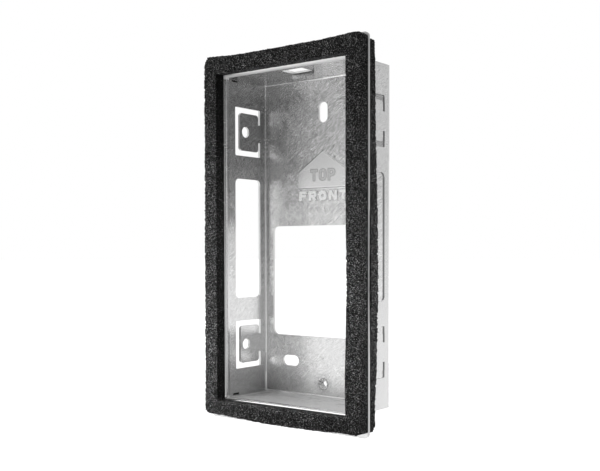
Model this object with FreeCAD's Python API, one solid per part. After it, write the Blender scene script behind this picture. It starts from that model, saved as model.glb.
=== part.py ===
"""Flush back box for a wall panel, folded from one galvanised steel sheet.

The frame: +X runs to the right, +Y runs into the wall, +Z is up, in
millimetres. The plane Y = 0 is the face of the wall, where the rear gasket
seats, and the origin is the middle of the box on that plane. The open front
of the box faces -Y.
"""
import os

import FreeCAD
import Part

# Sheet and folds
SHEET = 1.2
FOLD_INSIDE = 0.6
FOLD_OUTSIDE = FOLD_INSIDE + SHEET

# Box, measured inside the walls and from the front face of the flange
INNER_WIDTH = 75.3
INNER_HEIGHT = 159.8
INNER_DEPTH = 30.9

# Flange around the open front, from the inner faces of the walls
FLANGE_SIDE_REACH = 9.6
FLANGE_END_REACH = 10.1
FLANGE_CORNER = 2.0
FLANGE_WIDTH = INNER_WIDTH + 2 * FLANGE_SIDE_REACH
FLANGE_HEIGHT = INNER_HEIGHT + 2 * FLANGE_END_REACH

# Front gasket, against the panel that closes the box, set in from the edges
# of the flange and back from the inner faces of the walls
FRONT_GASKET_THICK = 5.5
FRONT_GASKET_SIDE_INSET = 0.6
FRONT_GASKET_END_INSET = 1.5
FRONT_OPENING_SIDE_CLEARANCE = 1.1
FRONT_OPENING_END_CLEARANCE = 0.9

# Rear gasket, between the flange and the wall, set in from the edges of the
# flange and clear of the outer faces of the walls
REAR_GASKET_THICK = 6.0
REAR_GASKET_SIDE_INSET = 0.3
REAR_GASKET_END_INSET = 1.8
REAR_GASKET_CLEARANCE = 0.9
GASKET_CORNER = 1.0

# Screw tab, freed from a side wall by a C-shaped slot and held by a neck
TAB_END_MARGIN = 25.7
TAB_RISE = INNER_HEIGHT / 2 - TAB_END_MARGIN
TAB_HEIGHT = 19.0
TAB_CORNER = 1.6
TAB_FRONT_SLOT = 3.6
TAB_END_SLOT = 2.7
TAB_REAR_SLOT = 1.5
TAB_SLOT_CORNER = 0.7
TAB_NECK = 9.2
TAB_HOLE_RADIUS = 2.75
TAB_HOLE_SETBACK = 4.3

# Openings in the side walls, from the front face of the flange
SIDE_CUT_START = 7.4
SIDE_CUT_BACK_MARGIN = 4.2
SIDE_CUT_END = INNER_DEPTH - SIDE_CUT_BACK_MARGIN
SIDE_WINDOW_GAP = 11.7
SIDE_WINDOW_RISE = TAB_RISE - TAB_HEIGHT / 2 - TAB_END_SLOT - SIDE_WINDOW_GAP
SIDE_WINDOW_CORNER = 2.6

# Fixing slots in the back wall, from the inner faces of the walls
SLOT_WIDTH = 5.5
SLOT_LENGTH = 10.3
UPRIGHT_SLOT_MARGIN = 17.1
UPRIGHT_SLOT_RISE = INNER_HEIGHT / 2 - UPRIGHT_SLOT_MARGIN
LEVEL_SLOT_MARGIN = 16.9
LEVEL_SLOT_RISE = LEVEL_SLOT_MARGIN - INNER_HEIGHT / 2
LEVEL_SLOT_SIDE_MARGIN = 16.85
LEVEL_SLOT_SPACING = INNER_WIDTH - 2 * LEVEL_SLOT_SIDE_MARGIN

# Raised pointer, pressed out of the back wall below the upright slot
POINTER_WIDTH = 30.4
POINTER_HEIGHT = 17.8
POINTER_SIDE = 7.7
POINTER_SLOT_DROP = 19.6
POINTER_TOP = UPRIGHT_SLOT_RISE - POINTER_SLOT_DROP
POINTER_BOTTOM = POINTER_TOP - POINTER_HEIGHT
POINTER_SHOULDER = POINTER_BOTTOM + POINTER_SIDE
POINTER_PRESS = 0.4
POINTER_CORNER = 1.2

# Cable window in the back wall, between the pointer and the level slots
BACK_WINDOW_SIDE_MARGIN = 5.45
BACK_WINDOW_WIDTH = INNER_WIDTH - 2 * BACK_WINDOW_SIDE_MARGIN
BACK_WINDOW_POINTER_DROP = 19.0
BACK_WINDOW_TOP = POINTER_BOTTOM - BACK_WINDOW_POINTER_DROP
BACK_WINDOW_SLOT_GAP = 13.1
BACK_WINDOW_BOTTOM = LEVEL_SLOT_RISE + BACK_WINDOW_SLOT_GAP
BACK_WINDOW_CORNER = 3.0

# Hook slot in the top wall, with a short lip turned down at its rear edge
HOOK_WIDTH = 12.4
HOOK_START = 5.3
HOOK_LENGTH = 8.7
HOOK_CORNER = 0.5
LIP_DROP = 2.7

# Clinched nut for the earth screw, above the bottom wall
EARTH_MARGIN = 6.4
EARTH_RISE = EARTH_MARGIN - INNER_HEIGHT / 2
EARTH_BORE_RADIUS = 2.0
EARTH_SHANK_WALL = 0.7
EARTH_HOLE_RADIUS = EARTH_BORE_RADIUS + EARTH_SHANK_WALL
EARTH_SHANK_SETBACK = 0.1
EARTH_HEAD_LEDGE = 1.25
EARTH_HEAD_RADIUS = EARTH_HOLE_RADIUS + EARTH_HEAD_LEDGE
EARTH_HEAD_THICK = 2.0
EARTH_HEAD_EDGE = 0.3

# Corners of the box, where the ends of the folded walls meet
SEAM_GAP = 0.2
RELIEF_START = 5.0
RELIEF_LENGTH = 4.6
RELIEF_HEIGHT = 1.1
RELIEF_SINK = 0.7

# Planes along Y that follow from the sizes above
FLANGE_REAR = -REAR_GASKET_THICK
FLANGE_FRONT = FLANGE_REAR - SHEET
BACK_INNER = FLANGE_FRONT + INNER_DEPTH
BACK_OUTER = BACK_INNER + SHEET

# Directions, and the sine below which an edge counts as parallel to one
ALONG_X = FreeCAD.Vector(1, 0, 0)
ALONG_Y = FreeCAD.Vector(0, 1, 0)
ALONG_Z = FreeCAD.Vector(0, 0, 1)
PARALLEL_LIMIT = 1e-6

# How far a cutting tool starts before a face and runs out past it
LEAD_IN = 0.5
RUN_OUT = 5.0


def on_section(plane, across, y):
    """Return the point of a section at its place across the box."""
    if plane == "width":
        return FreeCAD.Vector(across, y, 0)
    return FreeCAD.Vector(0, y, across)


def fold_arc(plane, centre, start, end):
    """Return the arc of one fold, from start to end about its centre."""
    radius = abs(end[0] - start[0])
    shift_across = (start[0] + end[0]) / 2 - centre[0]
    shift_y = (start[1] + end[1]) / 2 - centre[1]
    scale = radius / (shift_across ** 2 + shift_y ** 2) ** 0.5
    middle = (centre[0] + shift_across * scale, centre[1] + shift_y * scale)
    points = [on_section(plane, *place) for place in (start, middle, end)]
    return Part.Arc(*points).toShape()


def tray_section(plane, half, front, back, flare, turn, lead):
    """Return the area of a tray's section, flared at its open front.

    The walls stand at half to each side. The flare is the radius of the fold
    at the front, turn that of the fold at the back, and lead how far the
    section runs on forward of the flare.
    """
    edges = []
    for side in (-1, 1):
        lip = side * (half + flare)
        wall = side * half
        floor_end = side * (half - turn)
        edges.append(Part.makeLine(on_section(plane, lip, front - lead),
                                   on_section(plane, lip, front)))
        edges.append(fold_arc(plane, (lip, front + flare),
                              (lip, front), (wall, front + flare)))
        edges.append(Part.makeLine(on_section(plane, wall, front + flare),
                                   on_section(plane, wall, back - turn)))
        edges.append(fold_arc(plane, (floor_end, back - turn),
                              (wall, back - turn), (floor_end, back)))
    edges.append(Part.makeLine(on_section(plane, turn - half, back),
                               on_section(plane, half - turn, back)))
    edges.append(Part.makeLine(on_section(plane, -half - flare, front - lead),
                               on_section(plane, half + flare, front - lead)))
    outline = Part.Wire(Part.sortEdges(edges)[0])
    return Part.Face(outline)


def folded_tray(half_width, half_height, front, back, flare, turn, lead):
    """Return a solid tray, whose folds meet in mitred corners."""
    tall = 2 * (half_height + flare + RUN_OUT)
    wide = 2 * (half_width + flare + RUN_OUT)
    across = tray_section("width", half_width, front, back, flare, turn, lead)
    upright = tray_section("height", half_height, front, back, flare, turn, lead)
    across.translate(ALONG_Z * (-tall / 2))
    upright.translate(ALONG_X * (-wide / 2))
    return across.extrude(ALONG_Z * tall).common(upright.extrude(ALONG_X * wide))


def edges_along(solid, direction):
    """Return the straight edges of a solid that run in a direction."""
    found = []
    for edge in solid.Edges:
        if not isinstance(edge.Curve, Part.Line):
            continue
        tangent = edge.tangentAt(edge.FirstParameter)
        if tangent.cross(direction).Length < PARALLEL_LIMIT:
            found.append(edge)
    return found


def block(x_range, y_range, z_range):
    """Return a plain block between three pairs of planes."""
    low = FreeCAD.Vector(x_range[0], y_range[0], z_range[0])
    size = [pair[1] - pair[0] for pair in (x_range, y_range, z_range)]
    return Part.makeBox(size[0], size[1], size[2], low)


def rounded_block(x_range, y_range, z_range, direction, radius):
    """Return a block whose edges along one direction are rounded."""
    solid = block(x_range, y_range, z_range)
    return solid.makeFillet(radius, edges_along(solid, direction))


def centred(middle, size):
    """Return the pair of planes of a size about its middle."""
    return (middle - size / 2, middle + size / 2)


def mirrored(solid, direction):
    """Return the mirror image of a solid across the middle of the box."""
    return solid.mirror(FreeCAD.Vector(0, 0, 0), direction)


def folded_sheet():
    """Return the folded box and its flange, before any opening is cut."""
    flange = rounded_block(centred(0, FLANGE_WIDTH), (FLANGE_FRONT, FLANGE_REAR),
                           centred(0, FLANGE_HEIGHT), ALONG_Y, FLANGE_CORNER)
    body = folded_tray(INNER_WIDTH / 2 + SHEET, INNER_HEIGHT / 2 + SHEET,
                       FLANGE_REAR, BACK_OUTER, FOLD_INSIDE, FOLD_OUTSIDE,
                       SHEET / 2)
    inside = folded_tray(INNER_WIDTH / 2, INNER_HEIGHT / 2,
                         FLANGE_FRONT, BACK_INNER, FOLD_OUTSIDE, FOLD_INSIDE,
                         RUN_OUT)
    return flange.fuse(body).cut(inside)


def tab_slot():
    """Return the cutter that frees the upper left screw tab."""
    x_range = (-INNER_WIDTH / 2 - SHEET - RUN_OUT, -INNER_WIDTH / 2 + RUN_OUT)
    start = FLANGE_FRONT + SIDE_CUT_START
    end = FLANGE_FRONT + SIDE_CUT_END
    frame = rounded_block(x_range, (start, end),
                          centred(TAB_RISE, TAB_HEIGHT + 2 * TAB_END_SLOT),
                          ALONG_X, TAB_SLOT_CORNER)
    tab = rounded_block(x_range, (start + TAB_FRONT_SLOT, end - TAB_REAR_SLOT),
                        centred(TAB_RISE, TAB_HEIGHT), ALONG_X, TAB_CORNER)
    neck = block(x_range, (end - TAB_REAR_SLOT - TAB_CORNER, end + RUN_OUT),
                 centred(TAB_RISE, TAB_NECK))
    hole = Part.makeCylinder(
        TAB_HOLE_RADIUS, x_range[1] - x_range[0],
        FreeCAD.Vector(x_range[0], start + TAB_FRONT_SLOT + TAB_HOLE_SETBACK,
                       TAB_RISE), ALONG_X)
    return frame.cut(tab.fuse(neck)).fuse(hole)


def side_cutters():
    """Return the cutters of the openings in both side walls."""
    slot = tab_slot()
    slots = [slot, mirrored(slot, ALONG_Z)]
    slots += [mirrored(each, ALONG_X) for each in slots]
    reach = INNER_WIDTH / 2 + SHEET + RUN_OUT
    window = rounded_block((-reach, reach),
                           (FLANGE_FRONT + SIDE_CUT_START,
                            FLANGE_FRONT + SIDE_CUT_END),
                           (-SIDE_WINDOW_RISE, SIDE_WINDOW_RISE),
                           ALONG_X, SIDE_WINDOW_CORNER)
    return slots + [window]


def slot_cutter(middle_x, middle_z, lengthwise, y_range):
    """Return the cutter of one round-ended fixing slot in the back wall."""
    middle = FreeCAD.Vector(middle_x, y_range[0], middle_z)
    travel = SLOT_LENGTH - SLOT_WIDTH
    depth = y_range[1] - y_range[0]
    if lengthwise is ALONG_X:
        across = (travel, SLOT_WIDTH)
    else:
        across = (SLOT_WIDTH, travel)
    cutter = block(centred(middle_x, across[0]), y_range,
                   centred(middle_z, across[1]))
    for end in (-travel / 2, travel / 2):
        cutter = cutter.fuse(Part.makeCylinder(
            SLOT_WIDTH / 2, depth, middle + lengthwise * end, ALONG_Y))
    return cutter.removeSplitter()


def back_cutters():
    """Return the cutters of the openings in the back wall."""
    y_range = (BACK_INNER - RUN_OUT, BACK_OUTER + RUN_OUT)
    window = rounded_block(centred(0, BACK_WINDOW_WIDTH), y_range,
                           (BACK_WINDOW_BOTTOM, BACK_WINDOW_TOP),
                           ALONG_Y, BACK_WINDOW_CORNER)
    upright = slot_cutter(0, UPRIGHT_SLOT_RISE, ALONG_Z, y_range)
    level = slot_cutter(LEVEL_SLOT_SPACING / 2, LEVEL_SLOT_RISE, ALONG_X,
                        y_range)
    earth = Part.makeCylinder(
        EARTH_HOLE_RADIUS, y_range[1] - y_range[0],
        FreeCAD.Vector(0, y_range[0], EARTH_RISE), ALONG_Y)
    return [window, upright, level, mirrored(level, ALONG_X), earth]


def pointer_prism(front, back):
    """Return the house-shaped pointer between two planes."""
    half = POINTER_WIDTH / 2
    outline = [(-half, POINTER_BOTTOM), (half, POINTER_BOTTOM),
               (half, POINTER_SHOULDER), (0, POINTER_TOP),
               (-half, POINTER_SHOULDER), (-half, POINTER_BOTTOM)]
    wire = Part.makePolygon([FreeCAD.Vector(x, front, z) for x, z in outline])
    prism = Part.Face(wire).extrude(ALONG_Y * (back - front))
    return prism.makeFillet(POINTER_CORNER, edges_along(prism, ALONG_Y))


def hook_slot(shell):
    """Return the shell with the hook slot in its top wall and the lip."""
    top = INNER_HEIGHT / 2
    width = centred(0, HOOK_WIDTH)
    start = FLANGE_FRONT + HOOK_START
    face = start + HOOK_LENGTH
    pivot = (top - FOLD_INSIDE, face + FOLD_OUTSIDE)
    opening = rounded_block(width, (start, pivot[1]),
                            (top - RUN_OUT, top + SHEET + RUN_OUT),
                            ALONG_Z, HOOK_CORNER)
    outer = [(top + SHEET, pivot[1]), (pivot[0], face)]
    inner = [(pivot[0], face + SHEET), (top, pivot[1])]
    tip = [(top - LIP_DROP, face), (top - LIP_DROP, face + SHEET)]
    corners = [outer[1], tip[0], tip[1], inner[0]]
    edges = [fold_arc("height", pivot, *outer), fold_arc("height", pivot, *inner)]
    for here, there in zip(corners, corners[1:]):
        edges.append(Part.makeLine(on_section("height", *here),
                                   on_section("height", *there)))
    edges.append(Part.makeLine(on_section("height", *inner[1]),
                               on_section("height", *outer[0])))
    section = Part.Face(Part.Wire(Part.sortEdges(edges)[0]))
    section.translate(ALONG_X * width[0])
    lip = section.extrude(ALONG_X * HOOK_WIDTH)
    return shell.cut(opening).fuse(lip)


def corner_cutters():
    """Return the cutters of the seams and reliefs in the four corners."""
    wall = INNER_WIDTH / 2
    top = INNER_HEIGHT / 2
    seam = block((wall - SEAM_GAP, wall),
                 (FLANGE_FRONT + RELIEF_START,
                  BACK_INNER - FOLD_OUTSIDE),
                 (top - LEAD_IN, top + SHEET + RUN_OUT))
    relief = block((wall - LEAD_IN, wall + RELIEF_SINK),
                   (FLANGE_FRONT + RELIEF_START,
                    FLANGE_FRONT + RELIEF_START + RELIEF_LENGTH),
                   (top - RELIEF_HEIGHT, top))
    upper = [seam, relief]
    upper += [mirrored(each, ALONG_X) for each in upper]
    return upper + [mirrored(each, ALONG_Z) for each in upper]


def box_shell():
    """Return the folded steel box with every opening."""
    shell = folded_sheet()
    shell = shell.fuse(pointer_prism(BACK_INNER - POINTER_PRESS,
                                     BACK_INNER + SHEET / 2))
    shell = shell.cut(pointer_prism(BACK_OUTER - POINTER_PRESS,
                                    BACK_OUTER + RUN_OUT))
    shell = shell.cut(side_cutters() + back_cutters() + corner_cutters())
    return hook_slot(shell).removeSplitter()


def gasket(side_inset, end_inset, side_clearance, end_clearance, y_range):
    """Return a flat ring of foam that follows the flange and the walls.

    The insets run in from the edges of the flange, and the clearances out
    from the inner faces of the walls.
    """
    sheet = rounded_block(centred(0, FLANGE_WIDTH - 2 * side_inset), y_range,
                          centred(0, FLANGE_HEIGHT - 2 * end_inset),
                          ALONG_Y, GASKET_CORNER)
    opening = block(centred(0, INNER_WIDTH + 2 * side_clearance),
                    (y_range[0] - RUN_OUT, y_range[1] + RUN_OUT),
                    centred(0, INNER_HEIGHT + 2 * end_clearance))
    return sheet.cut(opening)


def front_gasket():
    """Return the gasket on the front face of the flange."""
    return gasket(FRONT_GASKET_SIDE_INSET, FRONT_GASKET_END_INSET,
                  FRONT_OPENING_SIDE_CLEARANCE, FRONT_OPENING_END_CLEARANCE,
                  (FLANGE_FRONT - FRONT_GASKET_THICK, FLANGE_FRONT))


def rear_gasket():
    """Return the gasket behind the flange, which seats on the wall."""
    clearance = SHEET + REAR_GASKET_CLEARANCE
    return gasket(REAR_GASKET_SIDE_INSET, REAR_GASKET_END_INSET,
                  clearance, clearance,
                  (FLANGE_REAR, FLANGE_REAR + REAR_GASKET_THICK))


def earth_nut():
    """Return the clinched nut, revolved about the axis of its bore."""
    shank_front = BACK_INNER + EARTH_SHANK_SETBACK
    head_back = BACK_OUTER + EARTH_HEAD_THICK
    profile = [(EARTH_BORE_RADIUS, shank_front),
               (EARTH_HOLE_RADIUS, shank_front),
               (EARTH_HOLE_RADIUS, BACK_OUTER),
               (EARTH_HEAD_RADIUS, BACK_OUTER),
               (EARTH_HEAD_RADIUS, head_back - EARTH_HEAD_EDGE),
               (EARTH_HEAD_RADIUS - EARTH_HEAD_EDGE, head_back),
               (EARTH_BORE_RADIUS, head_back),
               (EARTH_BORE_RADIUS, shank_front)]
    wire = Part.makePolygon([FreeCAD.Vector(radius, y, EARTH_RISE)
                             for radius, y in profile])
    axis_point = FreeCAD.Vector(0, 0, EARTH_RISE)
    return Part.Face(wire).revolve(axis_point, ALONG_Y, 360)


def main():
    """Build each piece and write it as its own STEP file."""
    os.makedirs("parts", exist_ok=True)
    pieces = {
        "box_shell": box_shell(),
        "front_gasket": front_gasket(),
        "rear_gasket": rear_gasket(),
        "earth_nut": earth_nut(),
    }
    for name, shape in pieces.items():
        shape.exportStep("parts/" + name + ".step")


main()
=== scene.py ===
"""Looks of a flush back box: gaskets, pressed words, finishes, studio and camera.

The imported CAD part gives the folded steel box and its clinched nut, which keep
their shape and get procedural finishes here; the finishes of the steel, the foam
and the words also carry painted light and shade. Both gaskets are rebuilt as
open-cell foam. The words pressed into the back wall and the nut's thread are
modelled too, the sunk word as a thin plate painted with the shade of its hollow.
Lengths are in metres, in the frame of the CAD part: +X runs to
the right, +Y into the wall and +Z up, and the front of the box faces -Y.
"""

import logging
import math
from collections.abc import Mapping, Sequence
from dataclasses import dataclass
from enum import Enum

import bpy
from mathutils import Matrix, Vector, noise

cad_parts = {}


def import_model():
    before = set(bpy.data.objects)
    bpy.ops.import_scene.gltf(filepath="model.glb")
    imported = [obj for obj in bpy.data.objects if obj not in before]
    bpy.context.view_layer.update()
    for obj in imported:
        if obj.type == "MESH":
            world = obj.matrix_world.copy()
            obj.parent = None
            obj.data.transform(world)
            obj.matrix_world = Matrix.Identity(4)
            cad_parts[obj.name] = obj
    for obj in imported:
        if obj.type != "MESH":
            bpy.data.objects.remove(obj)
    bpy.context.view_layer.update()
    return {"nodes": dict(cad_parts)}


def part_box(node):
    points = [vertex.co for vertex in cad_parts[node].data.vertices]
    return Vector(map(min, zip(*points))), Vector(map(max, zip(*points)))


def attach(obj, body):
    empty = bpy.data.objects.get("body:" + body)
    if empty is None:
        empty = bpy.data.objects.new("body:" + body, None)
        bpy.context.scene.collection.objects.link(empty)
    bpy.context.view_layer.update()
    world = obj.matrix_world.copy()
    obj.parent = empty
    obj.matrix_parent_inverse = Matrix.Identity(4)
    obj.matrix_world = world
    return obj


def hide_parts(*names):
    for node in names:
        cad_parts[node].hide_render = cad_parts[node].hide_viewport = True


LOG = logging.getLogger("flush_back_box")
MM = 0.001
Point2 = tuple[float, float]
Point3 = tuple[float, float, float]
Ramp = tuple[float, float, float, float]
Colour = tuple[float, float, float, float]
Setting = str | float | int | bool
Value = "float | int | Sequence[float] | bpy.types.NodeSocket | Socket"


def grey(level: float) -> Colour:
    """Return an opaque neutral colour of a linear level."""
    return (level, level, level, 1.0)


def clipped(value: float) -> float:
    """Return a number kept between 0 and 1."""
    return min(max(value, 0.0), 1.0)


class Socket:
    """One shader value, on which Python's operators add Math nodes."""

    def __init__(self, graph: "Graph", link: bpy.types.NodeSocket) -> None:
        """Wrap an output socket.

        Args:
            graph: The graph that new nodes go into.
            link: The output socket that carries the value.
        """
        self.graph = graph
        self.link = link

    def _math(self, operation: str, *values: "Socket | float",
              clamp: bool = False) -> "Socket":
        """Add a Math node.

        Args:
            operation: The Math node's operation.
            *values: Its inputs, in order.
            clamp: Whether the result is kept between 0 and 1.

        Returns:
            The node's result.
        """
        return self.graph.node("ShaderNodeMath",
                               {"operation": operation, "use_clamp": clamp},
                               dict(enumerate(values)))

    def __add__(self, other: "Socket | float") -> "Socket":
        """Return the sum."""
        return self._math("ADD", self, other)

    __radd__ = __add__

    def __sub__(self, other: "Socket | float") -> "Socket":
        """Return the difference."""
        return self._math("SUBTRACT", self, other)

    def __rsub__(self, other: float) -> "Socket":
        """Return the difference from a number."""
        return self._math("SUBTRACT", other, self)

    def __mul__(self, other: "Socket | float") -> "Socket":
        """Return the product."""
        return self._math("MULTIPLY", self, other)

    __rmul__ = __mul__

    def __gt__(self, other: "Socket | float") -> "Socket":
        """Return 1 where this value is the greater."""
        return self._math("GREATER_THAN", self, other)

    def __lt__(self, other: "Socket | float") -> "Socket":
        """Return 1 where this value is the smaller."""
        return self._math("LESS_THAN", self, other)

    def __abs__(self) -> "Socket":
        """Return the value without its sign."""
        return self._math("ABSOLUTE", self)

    def most(self, other: "Socket | float") -> "Socket":
        """Return the greater of two values."""
        return self._math("MAXIMUM", self, other)

    def clamped(self) -> "Socket":
        """Return the value kept between 0 and 1."""
        return self._math("ADD", self, 0.0, clamp=True)

    def between(self, limits: Point2) -> "Socket":
        """Return 1 between two limits and 0 beyond them."""
        return (self > limits[0]) * (self < limits[1])

    def over(self, ramp: Ramp) -> "Socket":
        """Map a length onto a tone by a ramp whose ends are in millimetres."""
        return self.ramp(ramp[0] * MM, ramp[1] * MM, ramp[2], ramp[3])

    def ramp(self, low: float, high: float, start: float = 0.0,
             end: float = 1.0) -> "Socket":
        """Map a range of this value onto another with soft ends.

        Args:
            low: The value where the ramp starts.
            high: The value where the ramp ends.
            start: The result at and below low.
            end: The result at and above high.

        Returns:
            The mapped value.
        """
        return self.graph.node("ShaderNodeMapRange",
                               {"interpolation_type": "SMOOTHSTEP"},
                               {"Value": self, "From Min": low, "From Max": high,
                                "To Min": start, "To Max": end})


class Graph:
    """A node tree and the one method that adds nodes to it."""

    def __init__(self, tree: bpy.types.NodeTree) -> None:
        """Empty a node tree for a new graph."""
        self.tree = tree
        tree.nodes.clear()

    def raw(self, kind: str, settings: Mapping[str, Setting] | None = None,
            inputs: Mapping[str | int, Value] | None = None) -> bpy.types.Node:
        """Add a node of any kind.

        Args:
            kind: Blender's name of the node's type.
            settings: The node's own settings, which are set first.
            inputs: Values or links of its sockets, by name or place.

        Returns:
            The new node.
        """
        made = self.tree.nodes.new(kind)
        for name, value in (settings or {}).items():
            setattr(made, name, value)
        for key, value in (inputs or {}).items():
            if isinstance(value, Socket):
                self.tree.links.new(value.link, made.inputs[key])
            elif isinstance(value, bpy.types.NodeSocket):
                self.tree.links.new(value, made.inputs[key])
            else:
                made.inputs[key].default_value = value
        return made

    def node(self, kind: str, settings: Mapping[str, Setting] | None = None,
             inputs: Mapping[str | int, Value] | None = None,
             output: str | int = 0) -> Socket:
        """Add a node of any kind and take one of its outputs.

        Args:
            kind: Blender's name of the node's type.
            settings: The node's own settings, which are set first.
            inputs: Values or links of its sockets, by name or place.
            output: The name or place of the output that is taken.

        Returns:
            The output as a value.
        """
        made = self.raw(kind, settings, inputs)
        return Socket(self, made.outputs[output])

    def split(self, vector: Socket) -> tuple[Socket, Socket, Socket]:
        """Return the three parts of a vector."""
        parts = self.raw("ShaderNodeSeparateXYZ", inputs={0: vector})
        return tuple(Socket(self, parts.outputs[axis]) for axis in range(3))

    def place(self) -> Socket:
        """Return the surface's place in the frame of the CAD part, in metres."""
        return self.node("ShaderNodeTexCoord", output="Object")

    def position(self) -> tuple[Socket, Socket, Socket]:
        """Return the three parts of the surface's place."""
        return self.split(self.place())

    def direction(self) -> tuple[Socket, Socket, Socket]:
        """Return the three parts of the direction that the surface faces."""
        return self.split(self.node("ShaderNodeTexCoord", output="Normal"))

    def facing(self) -> tuple[Socket, Socket, Socket]:
        """Return how far the surface faces along each axis, without sign."""
        x, y, z = self.direction()
        return abs(x), abs(y), abs(z)

    def vector(self, x: Socket | float, y: Socket | float,
               z: Socket | float) -> Socket:
        """Join three values into a vector."""
        return self.node("ShaderNodeCombineXYZ", inputs={0: x, 1: y, 2: z})

    def bump(self, height: Socket, strength: float = 1.0,
             distance: float = 1.0) -> Socket:
        """Tilt the surface's direction by a height.

        Args:
            height: The height, in the distance's unit.
            strength: How much of the tilt is kept.
            distance: The unit of the height, in metres.

        Returns:
            The tilted direction.
        """
        return self.node("ShaderNodeBump", inputs={
            "Strength": strength, "Distance": distance, "Height": height})

    def surface(self, inputs: Mapping[str | int, Value]) -> None:
        """Shade the surface by the standard shader with these inputs."""
        shader = self.node("ShaderNodeBsdfPrincipled", inputs=inputs)
        self.raw("ShaderNodeOutputMaterial", inputs={"Surface": shader})

    def blend(self, factor: Socket | float, first: Socket | float,
              second: Socket | float) -> Socket:
        """Mix two plain values by a factor.

        Args:
            factor: How much of the second value is taken.
            first: The value where the factor is 0.
            second: The value where the factor is 1.

        Returns:
            The mixed value.
        """
        return self.node("ShaderNodeMix", {"data_type": "FLOAT"},
                         {0: factor, 2: first, 3: second})

    def tint(self, factor: Socket | float, first: Socket | Colour,
             second: Socket | Colour) -> Socket:
        """Mix two colours by a factor.

        Args:
            factor: How much of the second colour is taken.
            first: The colour where the factor is 0.
            second: The colour where the factor is 1.

        Returns:
            The mixed colour.
        """
        return self.node("ShaderNodeMix", {"data_type": "RGBA"},
                         {0: factor, 6: first, 7: second}, output=2)

    def clouds(self, place: Socket, scale: float, detail: float = 2.0,
               roughness: float = 0.5) -> Socket:
        """Add soft noise.

        Args:
            place: The vector that the noise is read at.
            scale: How many times the noise repeats in a metre.
            detail: How many finer layers are laid over it.
            roughness: How strong the finer layers are.

        Returns:
            The noise, around 0.5.
        """
        return self.node("ShaderNodeTexNoise", {"noise_dimensions": "3D"},
                         {"Vector": place, "Scale": scale, "Detail": detail,
                          "Roughness": roughness})


class Finish:
    """A material made of nodes, ready to be given to a piece."""

    name: str

    def dress(self, graph: Graph) -> None:
        """Fill a graph with the nodes of the finish."""
        raise NotImplementedError

    def material(self) -> bpy.types.Material:
        """Make the Blender material.

        Returns:
            The new material.
        """
        made = bpy.data.materials.new(self.name)
        made.use_nodes = True
        self.dress(Graph(made.node_tree))
        return made


class ScratchLay(Enum):
    """The ways that fine scratches run on the rolled sheet.

    Each has its slope in degrees, its share of the sheet and how much that
    share grows towards the right, per metre.
    """

    STEEP = (58.0, 0.10, -2.2)
    RISING = (34.0, 0.08, 2.0)
    FALLING = (-52.0, -0.05, -0.6)
    LEVEL = (12.0, -0.03, 1.6)


class PaintedLightAndShadeSpot(Enum):
    """Round spots of painted reflection and painted shade on the back wall: x, z and reach in
    millimetres, and tone.
    """

    BY_POINTER = (-11.0, 50.0, 28.2843, -0.14)
    BY_UPPER_TAB = (-32.0, 57.0, 7.0, 0.30)
    UNDER_UPPER_TAB = (-30.0, 36.0, 8.0, 0.30)
    BY_WINDOW = (-30.0, 20.0, 8.0, 0.30)


class SheetFace(Enum):
    """Parts of the sheet that a patch of painted light or shade can lie on."""

    LEVEL_INSIDE = "every face within the outer walls but the side walls"
    SIDES_INSIDE = "both side walls within the outer walls"
    LEFT_WALL = "the left wall"
    LEFT_WALL_INSIDE = "the left wall, where it faces right"
    BACK = "the back wall"
    UPPER_BACK = "the back wall at the height of the upper tabs"
    FLAT_BACK = "the back wall, apart from its bends and cut edges"
    LOOKING_DOWN = "every face that looks down"
    REAR = "the rear of the back wall"


@dataclass(frozen=True)
class TonePatch:
    """A patch of painted light or shade on the sheet, lighter or darker than the rest.

    Each fade is an axis with a ramp along it, and their product with the tone
    is what the patch adds.
    """

    face: SheetFace
    fades: tuple[tuple[str, Ramp], ...] = ()
    tone: float = 1.0


@dataclass(frozen=True)
class SheetParts:
    """Places on the sheet, the ways that it faces, and masks of its parts."""

    place: Socket
    x: Socket
    y: Socket
    z: Socket
    rightward: Socket
    upward: Socket
    beyond_pad: Socket
    back: Socket
    pad: Socket
    bend: Socket
    flange_bend: Socket
    sheared: Socket


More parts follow.
